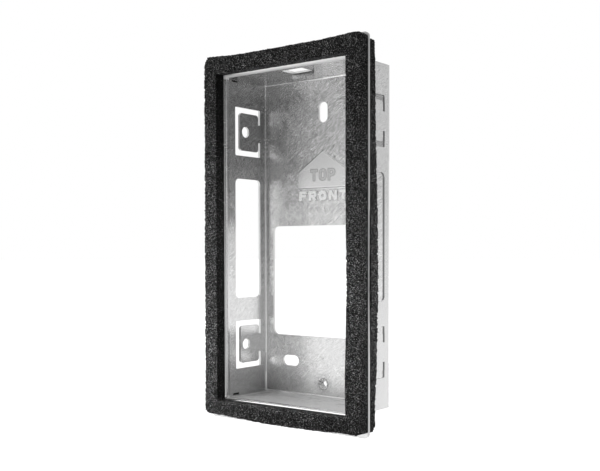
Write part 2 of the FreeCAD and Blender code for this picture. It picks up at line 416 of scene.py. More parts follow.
@dataclass(frozen=True)
class GalvanisedSteel(Finish):
    """Zinc-coated sheet with a soft gloss and fine scratches every way, and painted light and
    shade on its walls, bends and edges.
    """

    name: str = "galvanised_steel"
    level: float = 0.78
    dark_share: float = 0.50
    bright_share: float = 1.50
    brightest: float = 0.98
    gloss: float = 0.25
    cloud_gloss: float = 0.10
    grain_gloss: float = 0.08
    cut_gloss: float = 0.20
    bend_gloss: float = 0.08
    metal: float = 0.92
    dusty_metal: float = 0.03
    sheared_metal: float = 0.30
    low_bend_metal: float = 0.6
    upper_end_metal: float = 0.35
    lower_end_metal: float = 0.75
    step_metal: float = 0.4
    square: float = 0.7
    aslant: float = 0.5
    outer_wall: float = 38.3 * MM
    scratch_length: float = 3.6 * MM
    scratch_width: float = 0.22 * MM
    scratch_wave: float = 2.4 * MM
    scratch_gain: float = 5.0
    scratch_tone: float = 0.46
    scratch_depth: float = 0.012 * MM
    scratch_slant: float = 0.5
    scratch_fade: Ramp = (-30.0, 50.0, 1.0, 0.35)
    outer_calm: float = 0.5
    low_calm: Ramp = (-30.0, 10.0, 0.55, 0.0)
    bend_calm: float = 0.92
    grain_tone: float = 0.10
    grain_depth: float = 0.008 * MM
    cloud_tone: float = 0.08
    rim_side: float = 46.95 * MM
    rim_end: float = 89.7 * MM
    rim_dark: float = 0.12
    rim_dulled: Ramp = (-5.0, 30.0, 0.15, 0.38)
    bend_side: float = 36.9 * MM
    bend_end: float = 79.15 * MM
    bend_back: float = 22.95 * MM
    bend_highlights: tuple[float, float, float] = (0.20, 0.75, 0.85)
    low_bend: float = -70.0 * MM
    dull_bend: float = -60.0 * MM
    flange_rear: float = -4.4 * MM
    flange_wall: float = 40.3 * MM
    flange_reach: float = 83.0 * MM
    flange_bend_shade: Ramp = (-50.0, -36.0, 0.3, 0.08)
    end_highlight: float = 0.9
    side_cut: Point2 = (37.72 * MM, 38.78 * MM)
    end_cut: Point2 = (79.97 * MM, 81.03 * MM)
    back_cut: Point2 = (23.77 * MM, 24.83 * MM)
    slot_edge: float = 37.0 * MM
    slot_end: float = 79.0 * MM
    slot_rear: float = 22.5 * MM
    cut_fade: Ramp = (1.0, 6.0, 0.0, 1.0)
    cut_lit_and_shaded_levels: Point2 = (0.97, 0.22)
    back_rear: float = 23.95 * MM
    upper_back: float = 36.0 * MM
    pad_half_width: float = 15.2 * MM
    pad_low: float = 25.4 * MM
    pad_shoulder: float = 33.1 * MM
    pad_high: float = 43.2 * MM
    pad_front: float = 23.1 * MM
    pad_rear: float = 23.55 * MM
    pad_rise: float = 0.12 * MM
    pad_lean: float = -0.05
    pad_tone: float = 0.18
    pad_shade_ring: tuple[Ramp, Ramp] = ((0.0, 0.15, 0.0, 1.0), (0.35, 0.6, 1.0, 0.0))
    pad_highlight_crest: tuple[Ramp, Ramp] = ((-0.55, -0.25, 0.0, 1.0), (0.35, 0.7, 1.0, 0.0))
    pad_edge: float = 0.45
    pad_shoulder_fade: Ramp = (-0.1, 0.9, 1.0, 0.0)
    step_places: Point2 = (-0.2 * MM, 0.3 * MM)
    step_depths: Point2 = (23.32 * MM, 23.67 * MM)
    step_painted_light: float = 0.8
    step_level: float = 0.95
    rear_start: float = 24.55 * MM
    nut_height: float = -73.5 * MM
    nut_collar: Ramp = (2.42, 2.50, 1.0, 0.0)
    nut_edge: tuple[Ramp, Ramp] = ((2.45, 2.60, 0.0, 1.0), (2.70, 3.20, 0.60, 0.0))
    nut_halo: Ramp = (2.45, 7.00, 0.40, 0.0)
    nut_dark: float = 0.06
    relief_sides: Point2 = (37.56 * MM, 38.36 * MM)
    relief_ends: Point2 = (78.45 * MM, 79.55 * MM)
    relief_depths: Point2 = (-2.0 * MM, 2.4 * MM)
    relief_shadow: float = 0.03
    lip_half_width: float = 6.6 * MM
    lip_depths: Point2 = (6.4 * MM, 8.3 * MM)
    lip_heights: Point2 = (76.8 * MM, 79.95 * MM)
    lip_shadow: Ramp = (78.0, 79.8, 0.20, 0.55)
    shadow_level: float = 0.02
    dust_and_light: float = 0.95
    dust_light_and_shade_levels: Point2 = (0.50, 0.99)
    dust_gain: float = 3.6
    dust_scales: Point2 = (120.0, 330.0)
    floor_shade_inward: Ramp = (-4.0, 16.0, 1.25, 0.85)
    floor_shade_across: Ramp = (-37.0, -14.0, -0.40, 0.10)
    painted_light_and_shade_patches: tuple[TonePatch, ...] = (
        TonePatch(SheetFace.LEVEL_INSIDE, (("z", (12.0, 40.0, 0.27, 0.0)),
                                           ("x", (-14.0, 6.0, 1.0, 0.0)),
                                           ("z", (-74.0, -54.0, 0.0, 0.9)))),
        TonePatch(SheetFace.SIDES_INSIDE, (("z", (-26.0, -4.0, 0.14, 0.0)),
                                           ("x", (-14.0, 6.0, 1.0, 0.0)),
                                           ("z", (-74.0, -54.0, 0.0, 0.9)))),
        TonePatch(SheetFace.BACK, (("z", (26.0, 34.0, 1.0, 0.0)),
                                   ("z", (0.0, 8.0, 0.0, 1.0)),
                                   ("x", (-22.0, -12.0, 0.16, 0.0)))),
        TonePatch(SheetFace.FLAT_BACK, (("x", (-36.0, -22.0, 1.0, 0.0)),
                                        ("z", (-78.0, -60.0, -0.22, 0.0)))),
        TonePatch(SheetFace.LEFT_WALL, (("y", (6.0, 22.0, 0.0, 1.0)),
                                        ("z", (-78.0, -60.0, -0.22, 0.0)))),
        TonePatch(SheetFace.LEFT_WALL, (("y", (-4.0, 3.0, 0.22, 0.0)),
                                        ("z", (-50.0, -38.0, 1.0, 0.0)),
                                        ("z", (-70.0, -60.0, 0.0, 1.0)))),
        TonePatch(SheetFace.LEFT_WALL, (("y", (9.0, 22.0, 0.0, -0.22)),
                                        ("z", (-12.0, 8.0, 0.0, 1.0)))),
        TonePatch(SheetFace.BACK, (("x", (-32.0, -17.0, 0.13, 0.0)),
                                   ("z", (25.0, 45.0, 0.0, 1.0)))),
    )
    shadows: tuple[TonePatch, ...] = (
        TonePatch(SheetFace.LOOKING_DOWN, (("x", (-30.0, 25.0, 0.34, 0.14)),)),
        TonePatch(SheetFace.LEFT_WALL_INSIDE, (("z", (26.0, 74.0, 0.03, 0.30)),)),
        TonePatch(SheetFace.UPPER_BACK, (("x", (21.0, 27.0, 0.0, 0.32)),)),
        TonePatch(SheetFace.REAR, tone=0.16),
    )

    def sheet_place(self, graph: Graph) -> tuple[Socket, Socket]:
        """Return a place on the sheet, laid flat on each wall in turn.

        Args:
            graph: The graph that the nodes go into.

        Returns:
            The place along and across the wall, in metres.
        """
        x, y, z = graph.position()
        side, _, level = graph.facing()
        on_side = side > self.square
        on_level = level > self.square
        return graph.blend(on_side, x, y), graph.blend(on_level, z, y)

    def scratches(self, graph: Graph) -> Socket:
        """Lay the scratches of every direction over each other.

        Args:
            graph: The graph that the nodes go into.

        Returns:
            A value of about 1 on a crest, -1 in a scratch and 0 between them.
        """
        along, across = self.sheet_place(graph)
        flat = graph.vector(along, across, 0.0)
        wave = (graph.clouds(flat, 45.0, 1.0) - 0.5) * self.scratch_wave
        total: Socket | None = None
        for place, lay in enumerate(ScratchLay):
            slope, share, lean = lay.value
            turn = math.radians(slope)
            run = along * math.cos(turn) + across * math.sin(turn)
            off = across * math.cos(turn) - along * math.sin(turn) + wave
            stretched = graph.vector(run * (1.0 / self.scratch_length),
                                     off * (1.0 / self.scratch_width),
                                     3.7 * place)
            lines = graph.clouds(stretched, 1.0, 2.0, 0.7)
            patch = graph.clouds(graph.vector(along, across, 0.31 * (place + 1)),
                                 120.0, 1.0) + share + along * lean
            layer = (lines - 0.5) * self.scratch_gain * patch.ramp(0.40, 0.60)
            total = layer if total is None else total + layer
        return total

    def pad_distance(self, graph: Graph) -> Socket:
        """Measure how far a place on the back wall lies outside the pointer.

        Args:
            graph: The graph that the nodes go into.

        Returns:
            The distance in metres, below 0 inside the pointer.
        """
        x, _, z = graph.position()
        rise = self.pad_high - self.pad_shoulder
        slope = math.hypot(rise, self.pad_half_width)
        beside = abs(x) - self.pad_half_width
        roof = ((z - self.pad_high) * (self.pad_half_width / slope)
                + abs(x) * (rise / slope))
        return beside.most(self.pad_low - z).most(roof)

    def bend(self, graph: Graph) -> Socket:
        """Mask the bends between the back wall and the four side walls.

        Args:
            graph: The graph that the nodes go into.

        Returns:
            1 on a bend, where folding has smoothed the sheet and a highlight is painted, and
            0 elsewhere.
        """
        x, y, z = graph.position()
        beside = (abs(x) > self.bend_side).most(abs(z) > self.bend_end)
        return beside * (y > self.bend_back)

    def flange_bend(self, graph: Graph) -> Socket:
        """Mask the smooth bends between the flange and the four side walls.

        Args:
            graph: The graph that the nodes go into.

        Returns:
            1 on a bend and 0 elsewhere.
        """
        x, y, z = graph.position()
        inside = (abs(x) < self.flange_wall) * (abs(z) < self.flange_reach)
        return inside * (y < self.flange_rear)

    def sheared(self, graph: Graph) -> Socket:
        """Mask the cut faces of the windows, slots and tabs.

        Args:
            graph: The graph that the nodes go into.

        Returns:
            1 on a cut face and 0 elsewhere.
        """
        x, y, z = graph.position()
        side, deep, level = graph.facing()
        across = abs(x) < self.slot_edge
        along = abs(z) < self.slot_end
        in_side = abs(x).between(self.side_cut) * (side < self.aslant)
        in_end = abs(z).between(self.end_cut) * (level < self.aslant)
        in_back = y.between(self.back_cut) * (deep < self.aslant)
        in_walls = (in_side * along).most(in_end * across)
        in_walls = in_walls * (y > self.flange_rear) * (y < self.slot_rear)
        return in_walls.most(in_back * across * along)

    def parts(self, graph: Graph) -> SheetParts:
        """Read the places and the masks that the other values share.

        Args:
            graph: The graph that the nodes go into.

        Returns:
            The places and the masks.
        """
        x, y, z = graph.position()
        rightward, _, upward = graph.direction()
        beyond = self.pad_distance(graph)
        return SheetParts(
            place=graph.place(),
            x=x, y=y, z=z, rightward=rightward, upward=upward, beyond_pad=beyond,
            back=y.between((self.pad_front, self.back_rear)),
            pad=(beyond < 0.0) * y.between((self.pad_front, self.pad_rear)),
            bend=self.bend(graph), flange_bend=self.flange_bend(graph),
            sheared=self.sheared(graph))

    def face_masks(self, parts: SheetParts) -> dict[SheetFace, Socket]:
        """Mask each face that a patch of tone can lie on.

        Args:
            parts: The places and masks of the sheet.

        Returns:
            The masks, each 1 on its face and 0 elsewhere.
        """
        side = abs(parts.rightward) > self.square
        inside = abs(parts.x) < self.outer_wall
        left = parts.x < 0.0
        return {
            SheetFace.LEVEL_INSIDE: (1.0 - side) * inside,
            SheetFace.SIDES_INSIDE: side * inside,
            SheetFace.LEFT_WALL: side * left,
            SheetFace.LEFT_WALL_INSIDE: (parts.rightward > self.square) * left,
            SheetFace.BACK: parts.back,
            SheetFace.FLAT_BACK: parts.back * (1.0 - side),
            SheetFace.UPPER_BACK: parts.back * (parts.z > self.upper_back),
            SheetFace.LOOKING_DOWN: parts.upward < -self.square,
            SheetFace.REAR: (parts.y > self.rear_start) * (1.0 - parts.bend),
        }

    def patch_tones(self, parts: SheetParts,
                    patches: Sequence[TonePatch]) -> list[Socket]:
        """Work out what each patch of painted light or shade adds.

        Args:
            parts: The places and masks of the sheet.
            patches: The patches.

        Returns:
            The tone of each patch, 0 away from it.
        """
        masks = self.face_masks(parts)
        axes = {"x": parts.x, "y": parts.y, "z": parts.z}
        tones: list[Socket] = []
        for patch in patches:
            tone = masks[patch.face] * patch.tone
            for axis, ramp in patch.fades:
                tone = tone * axes[axis].over(ramp)
            tones.append(tone)
        return tones

    def lift(self, parts: SheetParts) -> Socket:
        """Add up the patches and round spots of painted light and shade.

        Args:
            parts: The places and masks of the sheet.

        Returns:
            The tone that they add.
        """
        total = parts.pad * self.pad_tone
        for tone in self.patch_tones(parts, self.painted_light_and_shade_patches):
            total = total + tone
        for spot in PaintedLightAndShadeSpot:
            across, height, reach, tone = spot.value
            off = parts.x - across * MM
            rise = parts.z - height * MM
            away = off * off + rise * rise
            total = total + away.ramp(0.0, (reach * MM) ** 2, tone, 0.0) * parts.back
        return total

    def painted_bend_light_and_shade(self, graph: Graph, parts: SheetParts) -> Socket:
        """Work out the painted highlights on the back bends and the painted shade on the
        flange bends.

        Args:
            graph: The graph that the nodes go into.
            parts: The places and masks of the sheet.

        Returns:
            The painted light and shade that the bends add.
        """
        left, right, low = self.bend_highlights
        bright = graph.blend(parts.x > 0.0, left, right)
        bright = graph.blend(parts.z < self.low_bend, bright, low)
        return parts.bend * bright - parts.flange_bend * parts.z.over(self.flange_bend_shade)

    def floor_dust_and_shade(self, graph: Graph) -> Socket:
        """Return the dust streaks of the faces that look up, with painted light over them and
        painted shade towards the back and the left.

        Args:
            graph: The graph that the nodes go into.

        Returns:
            The colour.
        """
        x, y, _ = graph.position()
        across, deep = self.dust_scales
        streaks = graph.clouds(graph.vector(x * across, y * deep, 0.0), 1.0, 3.0, 0.75)
        tone = ((streaks - 0.5) * self.dust_gain + y.over(self.floor_shade_inward)
                + x.over(self.floor_shade_across))
        dark, light = self.dust_light_and_shade_levels
        return graph.tint(tone.clamped(), grey(dark), grey(light))

    def nut_seat(self, graph: Graph, parts: SheetParts) -> tuple[Socket, Socket]:
        """Mask the bright collar round the nut's hole and the marks about it.

        Args:
            graph: The graph that the nodes go into.
            parts: The places and masks of the sheet.

        Returns:
            The collar, and the dark marks of the clinching.
        """
        height = parts.z - self.nut_height
        away = graph.node("ShaderNodeMath", {"operation": "SQRT"},
                          {0: parts.x * parts.x + height * height})
        collar = away.over(self.nut_collar) * parts.back
        spots = graph.clouds(parts.place, 1300.0, 1.0, 0.6).ramp(0.35, 0.65)
        edge = away.over(self.nut_edge[0]) * away.over(self.nut_edge[1])
        halo = away.over(self.nut_halo) * spots
        return collar, (edge + halo) * parts.back * (1.0 - collar)

    def relief(self, parts: SheetParts) -> Socket:
        """Mask the small open reliefs in the four corners, which get a painted shadow.

        Args:
            parts: The places and masks of the sheet.

        Returns:
            1 in a relief and 0 elsewhere.
        """
        return (abs(parts.x).between(self.relief_sides)
                * abs(parts.z).between(self.relief_ends)
                * parts.y.between(self.relief_depths))

    def shadow(self, parts: SheetParts) -> Socket:
        """Work out how dark the shaded faces and the lip are.

        Args:
            parts: The places and masks of the sheet.

        Returns:
            The share of dark, 0 on faces in full light.
        """
        first, *others = self.patch_tones(parts, self.shadows)
        for tone in others:
            first = first.most(tone)
        plain = first * (1.0 - parts.flange_bend) * (1.0 - parts.sheared)
        lip = ((abs(parts.x) < self.lip_half_width) * parts.y.between(self.lip_depths)
               * parts.z.between(self.lip_heights))
        return plain.most(lip * parts.z.over(self.lip_shadow))

    def painted_pad_edges(self, parts: SheetParts) -> tuple[Socket, Socket, Socket]:
        """Mask the painted shade and highlight along the edges round the pointer.

        Args:
            parts: The places and masks of the sheet.

        Returns:
            The painted dark ring below it, the painted bright crest above, and its step.
        """
        beyond = parts.beyond_pad
        below = parts.z < self.pad_low
        ring = beyond.over(self.pad_shade_ring[0]) * beyond.over(self.pad_shade_ring[1])
        crest = beyond.over(self.pad_highlight_crest[0]) * beyond.over(self.pad_highlight_crest[1])
        edge = parts.back * self.pad_edge
        step = beyond.between(self.step_places) * parts.y.between(self.step_depths)
        return ring * below * edge, crest * (1.0 - below) * edge, step

    def metalness(self, graph: Graph, parts: SheetParts, step: Socket,
                  ends: Socket) -> Socket:
        """Work out how metallic each part of the sheet is.

        Args:
            graph: The graph that the nodes go into.
            parts: The places and masks of the sheet.
            step: 1 on the step round the pointer and 0 elsewhere.
            ends: 1 on the upper and lower flange bends and 0 elsewhere.

        Returns:
            The metallic value.
        """
        facing_right = (parts.rightward > self.square) * (parts.y < self.slot_rear)
        layers = (
            (parts.sheared, graph.blend(facing_right, self.sheared_metal, 1.0)),
            (parts.bend * (parts.z < self.dull_bend), self.low_bend_metal),
            (ends, graph.blend(parts.z < 0.0, self.upper_end_metal,
                               self.lower_end_metal)),
            (step, self.step_metal),
        )
        metal = graph.blend(parts.upward > self.square, self.metal, self.dusty_metal)
        for mask, value in layers:
            metal = graph.blend(mask, metal, value)
        return metal

    def dress(self, graph: Graph) -> None:
        """Fill a graph with the nodes of the finish.

        Args:
            graph: The graph that the nodes go into.
        """
        parts = self.parts(graph)
        wide = abs(parts.x)
        faded = (parts.x - parts.z * self.scratch_slant).over(self.scratch_fade)
        faded = faded * (1.0 - (wide > self.outer_wall) * self.outer_calm)
        faded = faded * (1.0 - (wide > self.outer_wall - 1.0 * MM)
                         * parts.z.over(self.low_calm))
        scratches = self.scratches(graph) * faded
        clouds = graph.clouds(parts.place, 55.0, 3.0, 0.6) - 0.5
        grain = graph.clouds(parts.place, 1500.0, 2.0, 0.65)
        folded = parts.bend.most(parts.flange_bend)
        worn = 1.0 - parts.pad.most(folded) * self.bend_calm
        tone = (clouds * (2.0 * self.cloud_tone) + (grain - 0.5) * self.grain_tone
                + scratches * self.scratch_tone) * worn
        # Painted light and shade from the tone patches, the round spots and the bends is
        # added to the sheet's tone here.
        shade = 0.5 + tone + self.lift(parts) + self.painted_bend_light_and_shade(graph, parts)
        colour = graph.tint(shade.clamped(), grey(self.level * self.dark_share),
                            grey(min(self.level * self.bright_share, self.brightest)))
        ring, crest, step = self.painted_pad_edges(parts)
        rim = (wide > self.rim_side).most(abs(parts.z) > self.rim_end)
        collar, marks = self.nut_seat(graph, parts)
        # Cut faces: painted light on the left of the box, painted shade on the right.
        cut_light_and_shade = graph.tint(parts.x.over(self.cut_fade), *map(grey, self.cut_lit_and_shaded_levels))
        ends = parts.flange_bend * (abs(parts.z) > self.slot_end)
        layers = (
            # Painted highlight on the crest above the pointer.
            (crest, grey(self.brightest)),
            # Painted shade: the dark ring below the pointer and the shadow in the corner
            # reliefs.
            (ring.most(self.relief(parts)), grey(self.relief_shadow)),
            (rim * parts.z.over(self.rim_dulled), grey(self.rim_dark)),
            (marks.clamped(), grey(self.nut_dark)),
            (collar, grey(self.brightest)),
            (parts.sheared, cut_light_and_shade),
            # Faces that look up: dust streaks, with painted light, and painted shade towards
            # the back left corner.
            ((parts.upward > self.square) * self.dust_and_light, self.floor_dust_and_shade(graph)),
            (self.shadow(parts), grey(self.shadow_level)),
            # Painted light on the step round the pointer.
            (step * self.step_painted_light, grey(self.step_level)),
            # Painted highlight along the upper and lower flange bends.
            (ends * self.end_highlight, grey(self.brightest)),
        )
        for mask, cover in layers:
            colour = graph.tint(mask, colour, cover)
        gloss = (self.gloss + clouds * self.cloud_gloss + (grain - 0.5) * self.grain_gloss
                 + rim * self.cut_gloss
                 - parts.flange_bend * (parts.z < 0.0) * self.bend_gloss)
        shoulder = parts.beyond_pad.over(self.pad_shoulder_fade) * parts.back
        height = (scratches * self.scratch_depth * worn + grain * self.grain_depth
                  + shoulder * self.pad_rise + parts.pad * parts.x * self.pad_lean)
        graph.surface({"Base Color": colour, "Roughness": gloss.clamped(),
                       "Metallic": self.metalness(graph, parts, step, ends),
                       "Normal": graph.bump(height)})


@dataclass(frozen=True)
class PressedShade(Finish):
    """Steel of a sunk or raised letter or of its rim, in its own tone or in a darker tone of
    painted shade.
    """

    name: str = "pressed_shade"
    level: float = 0.6
    gloss: float = 0.35
    metal: float = 1.0
    lean: float = 0.0
    spread: float = 0.15
    brightest: float = 0.97
    grain_scale: float = 2200.0
    grain_gloss: float = 0.2

    def dress(self, graph: Graph) -> None:
        """Fill a graph with the nodes of the finish.

        Args:
            graph: The graph that the nodes go into.
        """
        grain = graph.clouds(graph.place(), self.grain_scale, 2.0, 0.6)
        light = min(self.level * (1.0 + self.spread), self.brightest)
        colour = graph.tint(grain.ramp(0.3, 0.7),
                            grey(self.level * (1.0 - self.spread)), grey(light))
        x, _, _ = graph.position()
        graph.surface({"Base Color": colour, "Metallic": self.metal,
                       "Roughness": self.gloss + (grain - 0.5) * self.grain_gloss,
                       "Normal": graph.bump(x * self.lean)})


@dataclass(frozen=True)
class PlatedSteel(Finish):
    """Bright zinc plate of the nut, turned and slightly spotted."""

    name: str = "plated_steel"
    gloss: float = 0.30
    metal: float = 0.15
    dull_level: float = 0.882
    brightest: float = 0.98
    mark_level: float = 0.06
    mark_share: float = 0.75
    spot_gloss: float = 0.15
    groove: float = 0.02 * MM
    groove_strength: float = 0.2

    def dress(self, graph: Graph) -> None:
        """Fill a graph with the nodes of the finish.

        Args:
            graph: The graph that the nodes go into.
        """
        place = graph.place()
        spots = graph.clouds(place, 900.0, 3.0, 0.6)
        turned = graph.node("ShaderNodeTexWave",
                            {"wave_type": "RINGS", "rings_direction": "Y"},
                            {"Vector": place, "Scale": 600.0, "Distortion": 1.5})
        marks = graph.clouds(place, 1500.0, 1.0, 0.5).ramp(0.58, 0.64)
        colour = graph.tint(spots.ramp(0.35, 0.65), grey(self.dull_level),
                            grey(self.brightest))
        colour = graph.tint(marks * self.mark_share, colour, grey(self.mark_level))
        bump = graph.bump(turned, self.groove_strength, self.groove)
        graph.surface({"Base Color": colour, "Metallic": self.metal,
                       "Roughness": self.gloss + spots * self.spot_gloss,
                       "Normal": bump})


@dataclass(frozen=True)
class OpenCellFoam(Finish):
    """Black open-cell foam, with painted shade in its pores and painted highlights on its
    struts and specks.
    """

    name: str = "open_cell_foam"
    pore_shade_level: float = 0.002
    strut_highlight_level: float = 0.200
    speck: float = 0.46 * MM
    speck_gain: float = 5.0
    cell_gain: float = 0.9
    broad_gain: float = 0.4
    pore_gain: float = 0.45
    pore_middle: float = 0.35
    relief: float = 0.45 * MM
    cell_relief: float = 0.6
    gloss: float = 0.7
    sheen: float = 0.12

    def dress(self, graph: Graph) -> None:
        """Fill a graph with the nodes of the finish.

        Args:
            graph: The graph that the nodes go into.
        """
        place = graph.place()
        # The pore attribute holds the pore depth plus the painted shade and light of the
        # inner faces.
        pore_and_shade = graph.node("ShaderNodeAttribute", {"attribute_name": "pore"},
                           output="Fac")
        cells = graph.node("ShaderNodeTexVoronoi", {"feature": "F1"},
                           {"Vector": place, "Scale": 1.0 / self.speck,
                            "Randomness": 1.0})
        specks = graph.clouds(place, 1.1 / self.speck, 1.0, 0.5)
        broad = graph.clouds(place, 160.0, 2.0, 0.5)
        light = ((self.pore_middle - pore_and_shade) * self.pore_gain
                 + (0.5 - cells) * self.cell_gain
                 + (specks - 0.5) * self.speck_gain
                 + (broad - 0.5) * self.broad_gain)
        # Painted shade in the pores and painted highlights on the struts and specks.
        colour = graph.tint(light.ramp(0.22, 1.50), grey(self.pore_shade_level),
                            grey(self.strut_highlight_level))
        bump = graph.bump((specks - cells * self.cell_relief) * self.relief)
        graph.surface({"Base Color": colour, "Roughness": self.gloss,
                       "Specular IOR Level": self.sheen, "Normal": bump})


def new_mesh_object(name: str, points: Sequence[Sequence[float]],
                    faces: Sequence[Sequence[int]], finish: bpy.types.Material,
                    smooth: bool) -> bpy.types.Object:
    """Make an object from points and faces and link it to the scene.

    Args:
        name: The piece's name.
        points: The vertices, in metres.
        faces: Indices of the vertices of each face.
        finish: The material of the whole piece.
        smooth: Whether its faces are shaded as one smooth surface.

    Returns:
        The new object.
    """
    mesh = bpy.data.meshes.new(name)
    mesh.from_pydata([tuple(point) for point in points], [], faces)
    mesh.materials.append(finish)
    mesh.polygons.foreach_set("use_smooth", [smooth] * len(mesh.polygons))
    mesh.update()
    made = bpy.data.objects.new(name, mesh)
    bpy.context.scene.collection.objects.link(made)
    return made


@dataclass(frozen=True)
class CornerTrim:
    """A slanted cut across one outer corner of a gasket.

    The side and end say which corner, and the lengths how far the cut takes
    the corner back along the width and along the height.
    """

    side: int
    end: int
    along_width: float
    along_height: float


@dataclass(frozen=True)
class EdgePull:
    """A stretch of a gasket's outer edge that lies off its straight line.

    The way says which edge, centre and reach say where along it in metres, and
    step how far it lies outwards there.
    """

    way: tuple[int, int]
    centre: float
    reach: float
    step: float

    def moved(self, x: float, z: float) -> Point2:
        """Move a point of the outer outline.

        Args:
            x: The point's place along the width.
            z: The point's place along the height.

        Returns:
            The point's place after the pull.
        """
        along = z if self.way[0] else x
        off = (along - self.centre) / self.reach
        step = self.step * math.exp(-off * off)
        return x + self.way[0] * step, z + self.way[1] * step


